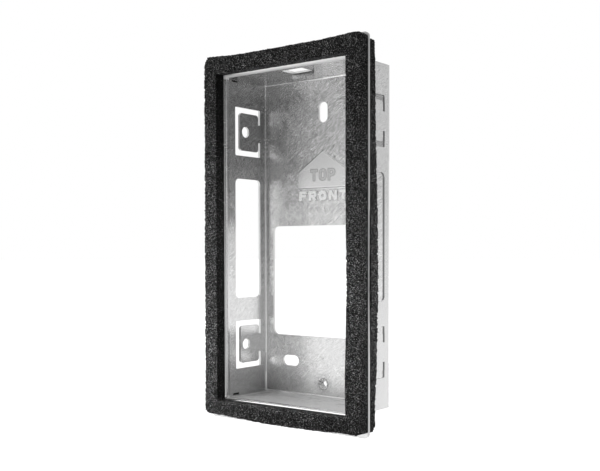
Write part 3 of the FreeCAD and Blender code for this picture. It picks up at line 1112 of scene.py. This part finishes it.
@dataclass
class FoamGasket:
    """A ring of open-cell foam with pitted faces and ragged cut edges."""

    node: str
    finish: bpy.types.Material
    opening: Point2
    trims: tuple[CornerTrim, ...] = ()
    pulls: tuple[EdgePull, ...] = ()
    inner_pulls: tuple[EdgePull, ...] = ()
    spacing: float = 0.36 * MM
    pore: float = 1.05 * MM
    pore_depth: float = 0.75 * MM
    wander: float = 0.35 * MM
    calm: float = 0.25
    inner_painted_shade: float = 0.62
    sill_painted_light: float = 0.8
    low_dark: float = 0.0
    back_steps: int = 10
    seed: float = 0.0
    on_edge: float = 0.97
    corner_reach: float = 1.2 * MM
    strut_share: float = 0.10
    pore_slope: float = 0.40
    fine_wave: float = 1.9 * MM
    broad_wave: float = 8.0 * MM
    inner_reach: float = 0.25 * MM
    high_start: float = 0.03
    high_rise: float = 0.04
    high_gain: float = 0.9
    low_start: float = -0.081
    low_drop: float = 0.003

    def __post_init__(self) -> None:
        """Read the gasket's place from its CAD node."""
        low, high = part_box(self.node)
        self.low = low
        self.high = high

    def trimmed(self, x: float, z: float) -> Point2:
        """Move a point of the outer outline onto the cut of its corner.

        Args:
            x: The point's place along the width.
            z: The point's place along the height.

        Returns:
            The point's place after the cut.
        """
        for trim in self.trims:
            from_side = self.high.x - x * trim.side
            from_end = self.high.z - z * trim.end
            beyond = 1.0 - from_side / trim.along_width - from_end / trim.along_height
            if beyond > 0.0:
                slope = math.hypot(1.0 / trim.along_width, 1.0 / trim.along_height)
                step = beyond / slope ** 2
                x -= trim.side * step / trim.along_width
                z -= trim.end * step / trim.along_height
        return x, z

    def pulled(self, point: Point2, turn: Point2,
               pulls: Sequence[EdgePull]) -> Point2:
        """Move a point by the pulls of the edge that it lies on.

        Args:
            point: The point's place.
            turn: Its place on a square ring that reaches 1 to each side.
            pulls: The pulls of that outline.

        Returns:
            The point's place after the pulls.
        """
        for pull in pulls:
            if (pull.way[0] * turn[0] + pull.way[1] * turn[1]) > self.on_edge:
                point = pull.moved(*point)
        return point

    def outlines(self) -> list[tuple[Point2, Point2, Point2]]:
        """Walk round the ring and give its inner and outer outline.

        Returns:
            For each step round the ring the inner point, the outer point and
            the direction out of the ring.
        """
        inner = (self.opening[0] / 2, self.opening[1] / 2)
        corners = ((-1, 1), (1, 1), (1, -1), (-1, -1))
        steps: list[tuple[Point2, Point2, Point2]] = []
        for place, (side, end) in enumerate(corners):
            next_side, next_end = corners[(place + 1) % 4]
            across = (self.high.x if side != next_side else self.high.z)
            count = round(2 * across / self.spacing)
            out = ((side + next_side) / 2, (end + next_end) / 2)
            for step in range(count):
                share = step / count
                turn = (side + (next_side - side) * share,
                        end + (next_end - end) * share)
                ease = max(0.0, 1.0 - step * self.spacing / self.corner_reach)
                back = corners[(place - 1) % 4]
                before = ((side + back[0]) / 2, (end + back[1]) / 2)
                way = (out[0] + before[0] * ease, out[1] + before[1] * ease)
                size = math.hypot(*way)
                outer = self.trimmed(self.high.x * turn[0], self.high.z * turn[1])
                outer = self.pulled(outer, turn, self.pulls)
                inside = self.pulled((inner[0] * turn[0], inner[1] * turn[1]), turn,
                                     self.inner_pulls)
                steps.append((inside, outer, (way[0] / size, way[1] / size)))
        return steps

    def section(self, inner: Point2, outer: Point2,
                out: Point2) -> list[tuple[Vector, Vector]]:
        """Walk round one cross-section of the ring.

        Args:
            inner: The inner outline's point.
            outer: The outer outline's point.
            out: The direction out of the ring.

        Returns:
            Each point of the section with the way that it faces.
        """
        front, back = self.low.y, self.high.y
        wide = self.high.x - self.opening[0] / 2
        across = max(2, round(wide / self.spacing))
        deep = max(2, round((back - front) / self.spacing))
        outward = Vector((out[0], 0.0, out[1]))
        forward = Vector((0.0, -1.0, 0.0))
        corners = (Vector((inner[0], front, inner[1])), Vector((outer[0], front, outer[1])),
                   Vector((outer[0], back, outer[1])), Vector((inner[0], back, inner[1])))
        sides = ((across, forward), (deep, outward),
                 (self.back_steps, -forward), (deep, -outward))
        walk: list[tuple[Vector, Vector]] = []
        for place, (count, way) in enumerate(sides):
            start, end = corners[place], corners[(place + 1) % 4]
            walk += [(start.lerp(end, step / count), way) for step in range(count)]
        for corner in (0, across, across + deep, across + deep + self.back_steps):
            point, way = walk[corner]
            walk[corner] = (point, (way + walk[corner - 1][1]).normalized())
        return walk

    def worn(self, point: Vector, way: Vector) -> tuple[Vector, float]:
        """Push a point in where a pore opens and let the cut face wander.

        The faces round the opening are calmer, with painted shade at their sides, deeper
        higher up, and painted light on the sill.

        Args:
            point: The point on the plain ring.
            way: The direction that the ring faces there.

        Returns:
            The point on the foam, and how deep in a pore it lies, up to 1, with the painted
            shade and light of the faces round the opening and the darkening at the bottom
            added.
        """
        at = point + Vector((self.seed, 0.0, 0.0))
        near, centres = noise.voronoi(at / self.pore, distance_metric="DISTANCE")
        share = clipped((near[1] - near[0] - self.strut_share) / self.pore_slope)
        open_share = 0.55 + 0.45 * noise.noise(centres[0] * 7.3)
        pore_and_shade = share * share * (3.0 - 2.0 * share) * open_share
        wave = (noise.noise(at / self.fine_wave) * 0.7
                + noise.noise(at / self.broad_wave) * 0.3)
        push = self.wander * wave - self.pore_depth * pore_and_shade
        inside = max(abs(point.x) - self.opening[0] / 2,
                     abs(point.z) - self.opening[1] / 2)
        if inside < self.inner_reach:
            push *= self.calm
            high = clipped((point.z - self.high_start) / self.high_rise)
            pore_and_shade += (self.inner_painted_shade * abs(way.x) * (1.0 + self.high_gain * high)
                      - self.sill_painted_light * max(way.z, 0.0))
        low = clipped((self.low_start - point.z) / self.low_drop)
        return point + way * push, pore_and_shade + self.low_dark * low

    def build(self) -> bpy.types.Object:
        """Make the gasket and let it stand for its CAD node.

        Returns:
            The new piece.
        """
        points: list[Vector] = []
        pore_and_shade_values: list[float] = []
        steps = self.outlines()
        size = 0
        for inner, outer, out in steps:
            walk = self.section(inner, outer, out)
            size = len(walk)
            for point, way in walk:
                placed, pore_and_shade = self.worn(point, way)
                placed.y = min(max(placed.y, self.low.y - self.wander),
                               self.high.y + self.wander)
                points.append(placed)
                pore_and_shade_values.append(pore_and_shade)
        faces = []
        for ring in range(len(steps)):
            here = ring * size
            there = (ring + 1) % len(steps) * size
            for step in range(size):
                beyond = (step + 1) % size
                faces.append((here + step, there + step, there + beyond,
                              here + beyond))
        made = new_mesh_object(self.node + "_foam", points, faces, self.finish, True)
        # The pore attribute carries the pore depth together with the painted shade and light
        # of the inner faces.
        pore = made.data.attributes.new("pore", "FLOAT", "POINT")
        pore.data.foreach_set("value", pore_and_shade_values)
        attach(made, "root")
        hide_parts(self.node)
        return made


class Letter(Enum):
    """The plain capital letters that the two words are made of."""

    T = "T"
    O = "O"
    P = "P"
    F = "F"
    R = "R"
    N = "N"


@dataclass(frozen=True)
class LetterCutter:
    """Draws the outlines of plain block letters of one size."""

    height: float
    stroke: float
    width: float
    arc_steps: int = 6

    def rounded(self, corners: Sequence[Point3], radius: float) -> list[Point2]:
        """Walk round some rounded corners of an outline.

        Args:
            corners: The centre of each corner's arc, and the turn in degrees
                where the arc starts.
            radius: The radius of the arcs.

        Returns:
            The points along the arcs.
        """
        points: list[Point2] = []
        for x, y, start in corners:
            for step in range(self.arc_steps + 1):
                turn = math.radians(start + 90 * step / self.arc_steps)
                points.append((x + radius * math.cos(turn), y + radius * math.sin(turn)))
        return points

    def loop(self, left: float, right: float, low: float, high: float,
             radius: float) -> list[Point2]:
        """Draw a rectangle with rounded corners.

        Args:
            left: Its left side.
            right: Its right side.
            low: Its lower side.
            high: Its upper side.
            radius: The radius of its corners.

        Returns:
            Its outline.
        """
        return self.rounded(((right - radius, high - radius, 0),
                             (left + radius, high - radius, 90),
                             (left + radius, low + radius, 180),
                             (right - radius, low + radius, 270)), radius)

    def bowl(self, left: float, right: float, low: float, high: float,
             radius: float) -> list[Point2]:
        """Draw a rectangle whose right corners are rounded.

        Args:
            left: Its left side.
            right: Its right side.
            low: Its lower side.
            high: Its upper side.
            radius: The radius of its right corners.

        Returns:
            Its outline.
        """
        return [(left, high), (left, low)] + self.rounded(
            ((right - radius, low + radius, 270),
             (right - radius, high - radius, 0)), radius)

    def outlines(self, letter: Letter) -> list[list[Point2]]:
        """Return the outlines of one letter, holes included.

        Args:
            letter: The letter to draw.

        Returns:
            Closed outlines, in metres, from the letter's lower left corner.
        """
        w, h, s = self.width, self.height, self.stroke
        middle = h * 0.46
        if letter is Letter.T:
            left, right = (w - s) / 2, (w + s) / 2
            return [[(left, 0), (right, 0), (right, h - s), (w, h - s), (w, h),
                     (0, h), (0, h - s), (left, h - s)]]
        if letter is Letter.O:
            return [self.loop(0, w, 0, h, w * 0.42),
                    self.loop(s, w - s, s, h - s, w * 0.42 - s * 0.8)]
        if letter is Letter.N:
            rise = s * 1.35
            return [[(0, 0), (s, 0), (s, h - rise), (w - s, 0), (w, 0), (w, h),
                     (w - s, h), (w - s, rise), (s, h), (0, h)]]
        if letter is Letter.F:
            arm = s * 0.92
            return [[(0, 0), (s, 0), (s, (h - arm) / 2), (w * 0.84, (h - arm) / 2),
                     (w * 0.84, (h + arm) / 2), (s, (h + arm) / 2), (s, h - arm),
                     (w * 0.94, h - arm), (w * 0.94, h), (0, h)]]
        high = self.bowl(0, w, middle - s * 0.5, h, (h - middle + s * 0.5) * 0.48)
        hole = self.bowl(s, w - s, middle + s * 0.42, h - s * 0.92,
                         (h - middle - s * 1.34) * 0.48)
        corner = high.index((0, middle - s * 0.5))
        foot = [(0.0, 0.0), (s, 0.0), (s, middle - s * 0.5)]
        if letter is Letter.R:
            foot += [(w * 0.42, middle - s * 0.5), (w - s * 0.95, 0.0),
                     (w + s * 0.18, 0.0), (w * 0.74, middle - s * 0.42)]
        outer = high[:corner] + foot + high[corner + 1:]
        return [outer, hole]

    def advance(self, letter: Letter) -> float:
        """Return the width that a letter takes."""
        return self.width * (0.94 if letter is Letter.F else 1.0)


class Relief(Enum):
    """Whether a word stands out of the wall, or is drawn as sunk by a thin plate in painted
    shade.
    """

    RAISED = "raised"
    SUNK = "sunk"


@dataclass
class PressedWord:
    """A plain word on the back wall, made of thin plates whose darker tones paint its shade.
    """

    name: str
    letters: str
    middle: float
    base: float
    face: float
    relief: Relief
    cutter: LetterCutter
    gap: float
    finish: bpy.types.Material
    edge_shade_finish: bpy.types.Material
    rise: float = 0.30 * MM
    slope: float = 0.10 * MM
    sunk_rise: float = 0.05 * MM
    sunk_shrink: float = -0.1 * MM
    sunk_slope: float = 0.02 * MM
    # The rim is painted shade: a dark outline round the sunk word and a drop shadow beside
    # the raised word.
    rim: float = 0.16 * MM
    rim_rise: float = 0.03 * MM
    rim_slope: float = 0.01 * MM

    def places(self) -> list[tuple[Letter, float]]:
        """Space the letters out about the word's middle.

        Returns:
            Each letter with the place of its left edge.
        """
        letters = [Letter[each] for each in self.letters]
        total = sum(self.cutter.advance(each) for each in letters)
        total += self.gap * (len(letters) - 1)
        at = self.middle - total / 2
        placed = []
        for letter in letters:
            placed.append((letter, at))
            at += self.cutter.advance(letter) + self.gap
        return placed

    def plate(self, name: str, thick: float, grow: float, slant: float,
              finish: bpy.types.Material, shadow_offset: float = 0.0) -> bpy.types.Object:
        """Make the word as a thin plate on the wall.

        Args:
            name: The piece's name.
            thick: How far the plate stands out of the wall.
            grow: How far each outline is moved outwards.
            slant: The size of the sloped edge round its front.
            finish: The material of the plate.
            shadow_offset: How far the plate lies to the right of and below the word.

        Returns:
            The new piece.
        """
        curve = bpy.data.curves.new(name, "CURVE")
        curve.dimensions = "2D"
        curve.fill_mode = "BOTH"
        curve.extrude = thick - slant
        curve.bevel_depth = slant
        curve.bevel_resolution = 1
        curve.offset = grow - slant
        for letter, left in self.places():
            for outline in self.cutter.outlines(letter):
                spline = curve.splines.new("POLY")
                spline.points.add(len(outline) - 1)
                spline.use_cyclic_u = True
                for point, (x, y) in zip(spline.points, outline):
                    point.co = (left + x + shadow_offset, self.base + y - shadow_offset, 0.0, 1.0)
        drawn = bpy.data.objects.new(name, curve)
        bpy.context.scene.collection.objects.link(drawn)
        bpy.context.view_layer.update()
        graph = bpy.context.evaluated_depsgraph_get()
        mesh = bpy.data.meshes.new_from_object(drawn.evaluated_get(graph))
        bpy.data.objects.remove(drawn)
        mesh.transform(Matrix(((1, 0, 0, 0), (0, 0, -1, self.face),
                               (0, 1, 0, 0), (0, 0, 0, 1))))
        mesh.materials.clear()
        mesh.materials.append(finish)
        mesh.name = name
        made = bpy.data.objects.new(name, mesh)
        bpy.context.scene.collection.objects.link(made)
        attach(made, "root")
        return made

    def build(self) -> list[bpy.types.Object]:
        """Make the word's face and the rim round it, whose dark tone is painted shade: an
        outline round a sunk word, and a drop shadow offset right and down beside a raised
        word.

        Returns:
            The new pieces.
        """
        raised = self.relief is Relief.RAISED
        if raised:
            face = self.plate(self.name, self.rise, 0.0, self.slope, self.finish)
        else:
            face = self.plate(self.name, self.sunk_rise, self.sunk_shrink,
                              self.sunk_slope, self.finish)
        rim = self.plate(self.name + "_rim", self.rim_rise,
                         self.rim * (0.5 if raised else 1.0), self.rim_slope,
                         self.edge_shade_finish, self.rim if raised else 0.0)
        return [face, rim]


@dataclass
class NutThread:
    """The thread inside the clinched nut, as one closed sleeve."""

    finish: bpy.types.Material
    centre_height: float = -73.5 * MM
    root: float = 1.99 * MM
    crest: float = 1.70 * MM
    pitch: float = 0.7 * MM
    start: float = 23.85 * MM
    end: float = 26.85 * MM
    root_gap: float = 0.01 * MM
    turns: int = 40
    steps: int = 60

    def radius(self, turn: float, along: float) -> float:
        """Return the thread's radius at a turn about and a place along the bore."""
        phase = (along / self.pitch - turn) % 1.0
        return self.root - (self.root - self.crest) * (1.0 - abs(2.0 * phase - 1.0))

    def build(self) -> bpy.types.Object:
        """Make the thread.

        Returns:
            The new piece.
        """
        points: list[Point3] = []
        for place in range(self.turns):
            turn = place / self.turns
            angle = turn * math.tau
            row = []
            for step in range(self.steps + 1):
                along = (self.end - self.start) * step / self.steps
                row.append((self.radius(turn, along) - self.root_gap,
                            self.start + along))
            row.append((self.root, self.end))
            row.append((self.root, self.start))
            for radius, y in row:
                points.append((radius * math.cos(angle), y,
                               self.centre_height + radius * math.sin(angle)))
        size = self.steps + 3
        faces = []
        for place in range(self.turns):
            here = place * size
            there = (place + 1) % self.turns * size
            for step in range(size):
                beyond = (step + 1) % size
                faces.append((here + step, here + beyond, there + beyond,
                              there + step))
        made = new_mesh_object("nut_thread", points, faces, self.finish, True)
        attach(made, "root")
        return made


@dataclass
class SteelBox:
    """The folded steel box and its nut, which keep their CAD shapes."""

    nodes: Mapping[str, bpy.types.Object]
    steel: bpy.types.Material
    plate: bpy.types.Material

    def dress(self) -> None:
        """Give the box and the nut their finishes."""
        for name, finish in (("box_shell", self.steel), ("earth_nut", self.plate)):
            mesh = self.nodes[name].data
            mesh.materials.clear()
            mesh.materials.append(finish)


@dataclass
class BackWallWords:
    """The two generic words on the back wall."""

    # The raised word's edge finish is a painted drop shadow; the sunk word's face and edge
    # finishes are painted shade of its hollow.
    face: bpy.types.Material
    shaded_sunk_face: bpy.types.Material
    edge: bpy.types.Material
    sunk_edge_shade: bpy.types.Material
    wall: float = 23.7 * MM
    pad_face: float = 23.3 * MM

    def build(self) -> list[bpy.types.Object]:
        """Make both words.

        Returns:
            The new pieces.
        """
        on_pad = PressedWord("pointer_word", "TOP", 0.0, 28.7 * MM, self.pad_face,
                             Relief.SUNK, LetterCutter(5.9 * MM, 1.45 * MM, 4.5 * MM),
                             0.9 * MM, self.shaded_sunk_face, self.sunk_edge_shade)
        below = PressedWord("wall_word", "FRONT", 0.0, 18.9 * MM, self.wall,
                            Relief.RAISED, LetterCutter(4.9 * MM, 1.55 * MM, 5.1 * MM),
                            1.15 * MM, self.face, self.edge)
        return on_pad.build() + below.build()


@dataclass(frozen=True)
class SoftLamp:
    """One soft rectangular studio lamp."""

    name: str
    place: Point3
    aim: Point3
    size: Point2
    watts: float
    spread: float

    def build(self, lit: bpy.types.Collection) -> bpy.types.Object:
        """Make the lamp.

        Args:
            lit: The pieces that the lamp lights.

        Returns:
            The new lamp.
        """
        data = bpy.data.lights.new(self.name, "AREA")
        data.shape = "RECTANGLE"
        data.size, data.size_y = self.size
        data.energy = self.watts
        data.spread = math.radians(self.spread)
        made = bpy.data.objects.new(self.name, data)
        made.location = self.place
        way = Vector(self.aim) - Vector(self.place)
        made.rotation_euler = way.to_track_quat("-Z", "Y").to_euler()
        made.visible_camera = False
        made.visible_glossy = False
        made.light_linking.receiver_collection = lit
        bpy.context.scene.collection.objects.link(made)
        return made


@dataclass(frozen=True)
class StudioTent(Finish):
    """A curved grey screen in front of the object, unseen by the camera.

    The steel mirrors it. On the left it is pale low down, dim at mid height
    and bright above, and on the right it is darker, up to one pale strip.
    """

    name: str = "tent"
    radius: float = 1.1
    half_turn: float = 105.0
    low: float = -0.39
    high: float = 1.3
    dim: float = 0.37
    pale: float = 1.30
    far_dim: float = 0.03
    far_pale: float = 0.60
    sky: float = 1.70
    side_strip: float = 1.1
    right_from: float = -20.0
    right_to: float = 40.0
    strip_from: float = 62.0
    strip_to: float = 104.0
    pale_fade: Ramp = (-160.0, 340.0, 0.0, 1.0)
    sky_fade: Ramp = (450.0, 750.0, 0.0, 1.0)
    far_fade: Ramp = (-120.0, 140.0, 0.0, 1.0)
    strip_fade: Ramp = (0.0, 450.0, 1.0, 0.25)
    brightest: float = 3.0
    panels: int = 48

    def dress(self, graph: Graph) -> None:
        """Fill a graph with the nodes of the finish.

        Args:
            graph: The graph that the nodes go into.
        """
        x, y, z = graph.position()
        turn = graph.node("ShaderNodeMath", {"operation": "ARCTAN2"},
                          {0: x, 1: y * -1.0})
        right = turn.ramp(math.radians(self.right_from), math.radians(self.right_to))
        left_side = graph.blend(z.over(self.pale_fade), self.pale, self.dim)
        left_side = graph.blend(z.over(self.sky_fade), left_side, self.sky)
        right_side = graph.blend(z.over(self.far_fade), self.far_pale, self.far_dim)
        level = graph.blend(right, left_side, right_side)
        ends = (math.radians(self.strip_from), math.radians(self.strip_to))
        strip = turn.between(ends) * z.over(self.strip_fade)
        level = graph.blend(strip, level, self.side_strip)
        colour = graph.tint(level * (1.0 / self.brightest), grey(0.0), grey(1.0))
        glow = graph.node("ShaderNodeEmission", inputs={
            "Color": colour, "Strength": self.brightest})
        graph.raw("ShaderNodeOutputMaterial", inputs={"Surface": glow})

    def build(self) -> bpy.types.Object:
        """Make the screen.

        Returns:
            The new stage object.
        """
        points: list[Point3] = []
        for place in range(self.panels + 1):
            turn = math.radians(self.half_turn * (2.0 * place / self.panels - 1.0))
            x, y = self.radius * math.sin(turn), -self.radius * math.cos(turn)
            points += [(x, y, self.low), (x, y, self.high)]
        faces = [(2 * place, 2 * place + 2, 2 * place + 3, 2 * place + 1)
                 for place in range(self.panels)]
        made = new_mesh_object(self.name, points, faces, self.material(), True)
        made.visible_camera = False
        return made


@dataclass(frozen=True)
class PaleFloor(Finish):
    """A plain pale floor that keeps the object's shadow."""

    name: str = "floor"
    height: float = -0.40
    reach: float = 30.0
    level: float = 0.92
    lift: float = 0.50

    def dress(self, graph: Graph) -> None:
        """Fill a graph with the nodes of the finish.

        Args:
            graph: The graph that the nodes go into.
        """
        path = graph.raw("ShaderNodeLightPath")
        seen = Socket(graph, path.outputs["Is Camera Ray"])
        seen = seen.most(Socket(graph, path.outputs["Is Glossy Ray"]))
        seen = seen.most(Socket(graph, path.outputs["Is Transmission Ray"]))
        diffuse = graph.node("ShaderNodeBsdfDiffuse", inputs={
            "Color": grey(self.level)})
        glow = graph.node("ShaderNodeEmission", inputs={
            "Color": graph.tint(seen, grey(0.0), grey(self.lift))})
        both = graph.node("ShaderNodeAddShader", inputs={0: diffuse, 1: glow})
        graph.raw("ShaderNodeOutputMaterial", inputs={"Surface": both})

    def build(self) -> bpy.types.Object:
        """Make the floor.

        Returns:
            The new stage object.
        """
        far = self.reach
        points = [(-far, -far, self.height), (far, -far, self.height),
                  (far, far, self.height), (-far, far, self.height)]
        made = new_mesh_object(self.name, points, [(0, 1, 2, 3)], self.material(), False)
        return made


@dataclass(frozen=True)
class Studio:
    """Floor, screen, lamps and the white surroundings."""

    low_sky: float = 0.98
    high_sky: float = 0.70
    sky_start: float = -0.22
    sky_end: float = 0.25
    floor: PaleFloor = PaleFloor()
    tent: StudioTent = StudioTent()
    lamps: tuple[SoftLamp, ...] = (
        SoftLamp("left_lamp", (-0.20, -0.20, -0.09), (-0.04, 0.0, -0.04),
                 (0.08, 0.10), 0.5, 70.0),
        SoftLamp("right_lamp", (-0.10, -0.20, -0.02), (0.048, -0.012, -0.025),
                 (0.03, 0.03), 0.03, 32.0),
        SoftLamp("side_lamp", (0.30, 0.06, -0.02), (0.047, -0.005, -0.02),
                 (0.05, 0.05), 0.06, 40.0),
    )

    def surround(self) -> None:
        """Make the white surroundings, which light the object and show behind it."""
        world = bpy.data.worlds.new("surround")
        world.use_nodes = True
        bpy.context.scene.world = world
        graph = Graph(world.node_tree)
        _, _, rise = graph.split(graph.node("ShaderNodeTexCoord", output="Generated"))
        path = graph.raw("ShaderNodeLightPath")
        seen = Socket(graph, path.outputs["Is Camera Ray"])
        dimmed = rise.ramp(self.sky_start, self.sky_end, self.low_sky, self.high_sky)
        level = graph.blend(seen, dimmed, 1.0)
        colour = graph.tint(level, grey(0.0), grey(1.0))
        back = graph.node("ShaderNodeBackground", inputs={"Color": colour})
        graph.raw("ShaderNodeOutputWorld", inputs={"Surface": back})

    def build(self, dark_pieces: Sequence[bpy.types.Object]) -> None:
        """Make the whole studio.

        Args:
            dark_pieces: The pieces that the lamps light.
        """
        self.surround()
        self.floor.build()
        self.tent.build()
        lit = bpy.data.collections.new("lit_by_lamps")
        for piece in dark_pieces:
            lit.objects.link(piece)
        for lamp in self.lamps:
            lamp.build(lit)


@dataclass(frozen=True)
class PhotographCamera:
    """The camera at the photograph's viewing angle, for a 600 by 471 image."""

    place: Point3 = (0.264081, -0.337646, -0.006188)
    azimuth: float = 37.6558
    pitch: float = 1.6152
    roll: float = -0.1145
    focal_pixels: float = 892.3209
    centre_row: float = 275.5706
    image: tuple[int, int] = (600, 471)
    sensor: float = 36.0

    def build(self) -> bpy.types.Object:
        """Make the camera and set it as the scene's.

        Returns:
            The camera.
        """
        azimuth, pitch = math.radians(self.azimuth), math.radians(self.pitch)
        roll = math.radians(self.roll)
        back = Vector((math.sin(azimuth) * math.cos(pitch),
                       -math.cos(azimuth) * math.cos(pitch), math.sin(pitch)))
        right = Vector((math.cos(azimuth), math.sin(azimuth), 0.0))
        up = back.cross(right)
        turned_right = right * math.cos(roll) + up * math.sin(roll)
        turned_up = up * math.cos(roll) - right * math.sin(roll)
        data = bpy.data.cameras.new("camera")
        data.sensor_width = self.sensor
        data.lens = self.focal_pixels * self.sensor / self.image[0]
        data.shift_y = (self.centre_row - self.image[1] / 2) / self.image[0]
        data.clip_start = 0.01
        data.clip_end = 100.0
        made = bpy.data.objects.new("camera", data)
        axes = Matrix((turned_right, turned_up, back)).transposed().to_4x4()
        made.matrix_world = Matrix.Translation(self.place) @ axes
        bpy.context.scene.collection.objects.link(made)
        bpy.context.scene.camera = made
        return made


def report(pieces: Sequence[bpy.types.Object]) -> None:
    """Log the size of each new piece.

    Args:
        pieces: The pieces that were made.
    """
    for piece in pieces:
        triangles = sum(len(face.vertices) - 2 for face in piece.data.polygons)
        LOG.info("%s: %d triangles", piece.name, triangles)


def main() -> None:
    """Load the CAD part, build each sub-assembly in order and log the sizes of the new
    pieces.
    """
    logging.basicConfig(level=logging.INFO, format="%(message)s")
    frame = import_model()
    bpy.context.scene.view_settings.view_transform = "Standard"
    PhotographCamera().build()
    foam = OpenCellFoam().material()
    plated = PlatedSteel().material()
    SteelBox(frame["nodes"], GalvanisedSteel().material(), plated).dress()
    front = FoamGasket(
        "front_gasket", foam, (77.5 * MM, 161.6 * MM),
        trims=(CornerTrim(1, -1, 2.6 * MM, 1.0 * MM), CornerTrim(-1, -1, 2.0 * MM, 1.5 * MM),
               CornerTrim(-1, 1, 2.0 * MM, 3.2 * MM), CornerTrim(1, 1, 0.8 * MM, 0.8 * MM)),
        pulls=(EdgePull((0, 1), -46.0 * MM, 14.0 * MM, 1.3 * MM),
               EdgePull((0, 1), 42.0 * MM, 9.0 * MM, 0.6 * MM),
               EdgePull((0, -1), -42.0 * MM, 20.0 * MM, -0.8 * MM),
               EdgePull((0, -1), 38.0 * MM, 9.0 * MM, -0.5 * MM),
               EdgePull((0, -1), 0.0, 22.0 * MM, 0.45 * MM),
               EdgePull((-1, 0), -30.0 * MM, 45.0 * MM, 0.25 * MM),
               EdgePull((-1, 0), -80.0 * MM, 14.0 * MM, 0.4 * MM)),
        low_dark=0.32,
        inner_pulls=(EdgePull((1, 0), -18.0 * MM, 22.0 * MM, 0.35 * MM),
                     EdgePull((1, 0), -66.0 * MM, 14.0 * MM, -0.5 * MM)))
    rear = FoamGasket("rear_gasket", foam, (79.5 * MM, 164.0 * MM),
                      trims=(CornerTrim(1, -1, 1.6 * MM, 2.4 * MM),
                             CornerTrim(1, 1, 0.4 * MM, 0.8 * MM)),
                      pulls=(EdgePull((1, 0), 0.0, 70.0 * MM, 0.6 * MM),
                             EdgePull((1, 0), 60.0 * MM, 40.0 * MM, -0.8 * MM),
                             EdgePull((1, 0), -16.0 * MM, 26.0 * MM, 0.45 * MM),
                             EdgePull((1, 0), 90.0 * MM, 14.0 * MM, -0.6 * MM),
                             EdgePull((1, 0), -80.0 * MM, 18.0 * MM, -0.9 * MM),
                             EdgePull((0, 1), 46.0 * MM, 20.0 * MM, -0.5 * MM)),
                      spacing=0.42 * MM, back_steps=15, seed=0.37)
    # The sunk word's face, its edge and the raised word's edge are painted shade.
    words = BackWallWords(PressedShade("raised_letter", 0.98, 0.30, 0.9, -0.10).material(),
                          PressedShade("sunk_letter", 0.60, 0.34, 1.0, -0.05).material(),
                          PressedShade("raised_letter_drop_shadow", 0.40, 0.40).material(),
                          PressedShade("sunk_letter_edge_shade", 0.36, 0.40, 1.0, -0.05).material())
    foams = [front.build(), rear.build()]
    report([*foams, *words.build(), NutThread(plated).build()])
    Studio().build(foams)


if __name__ == "__main__":
    main()
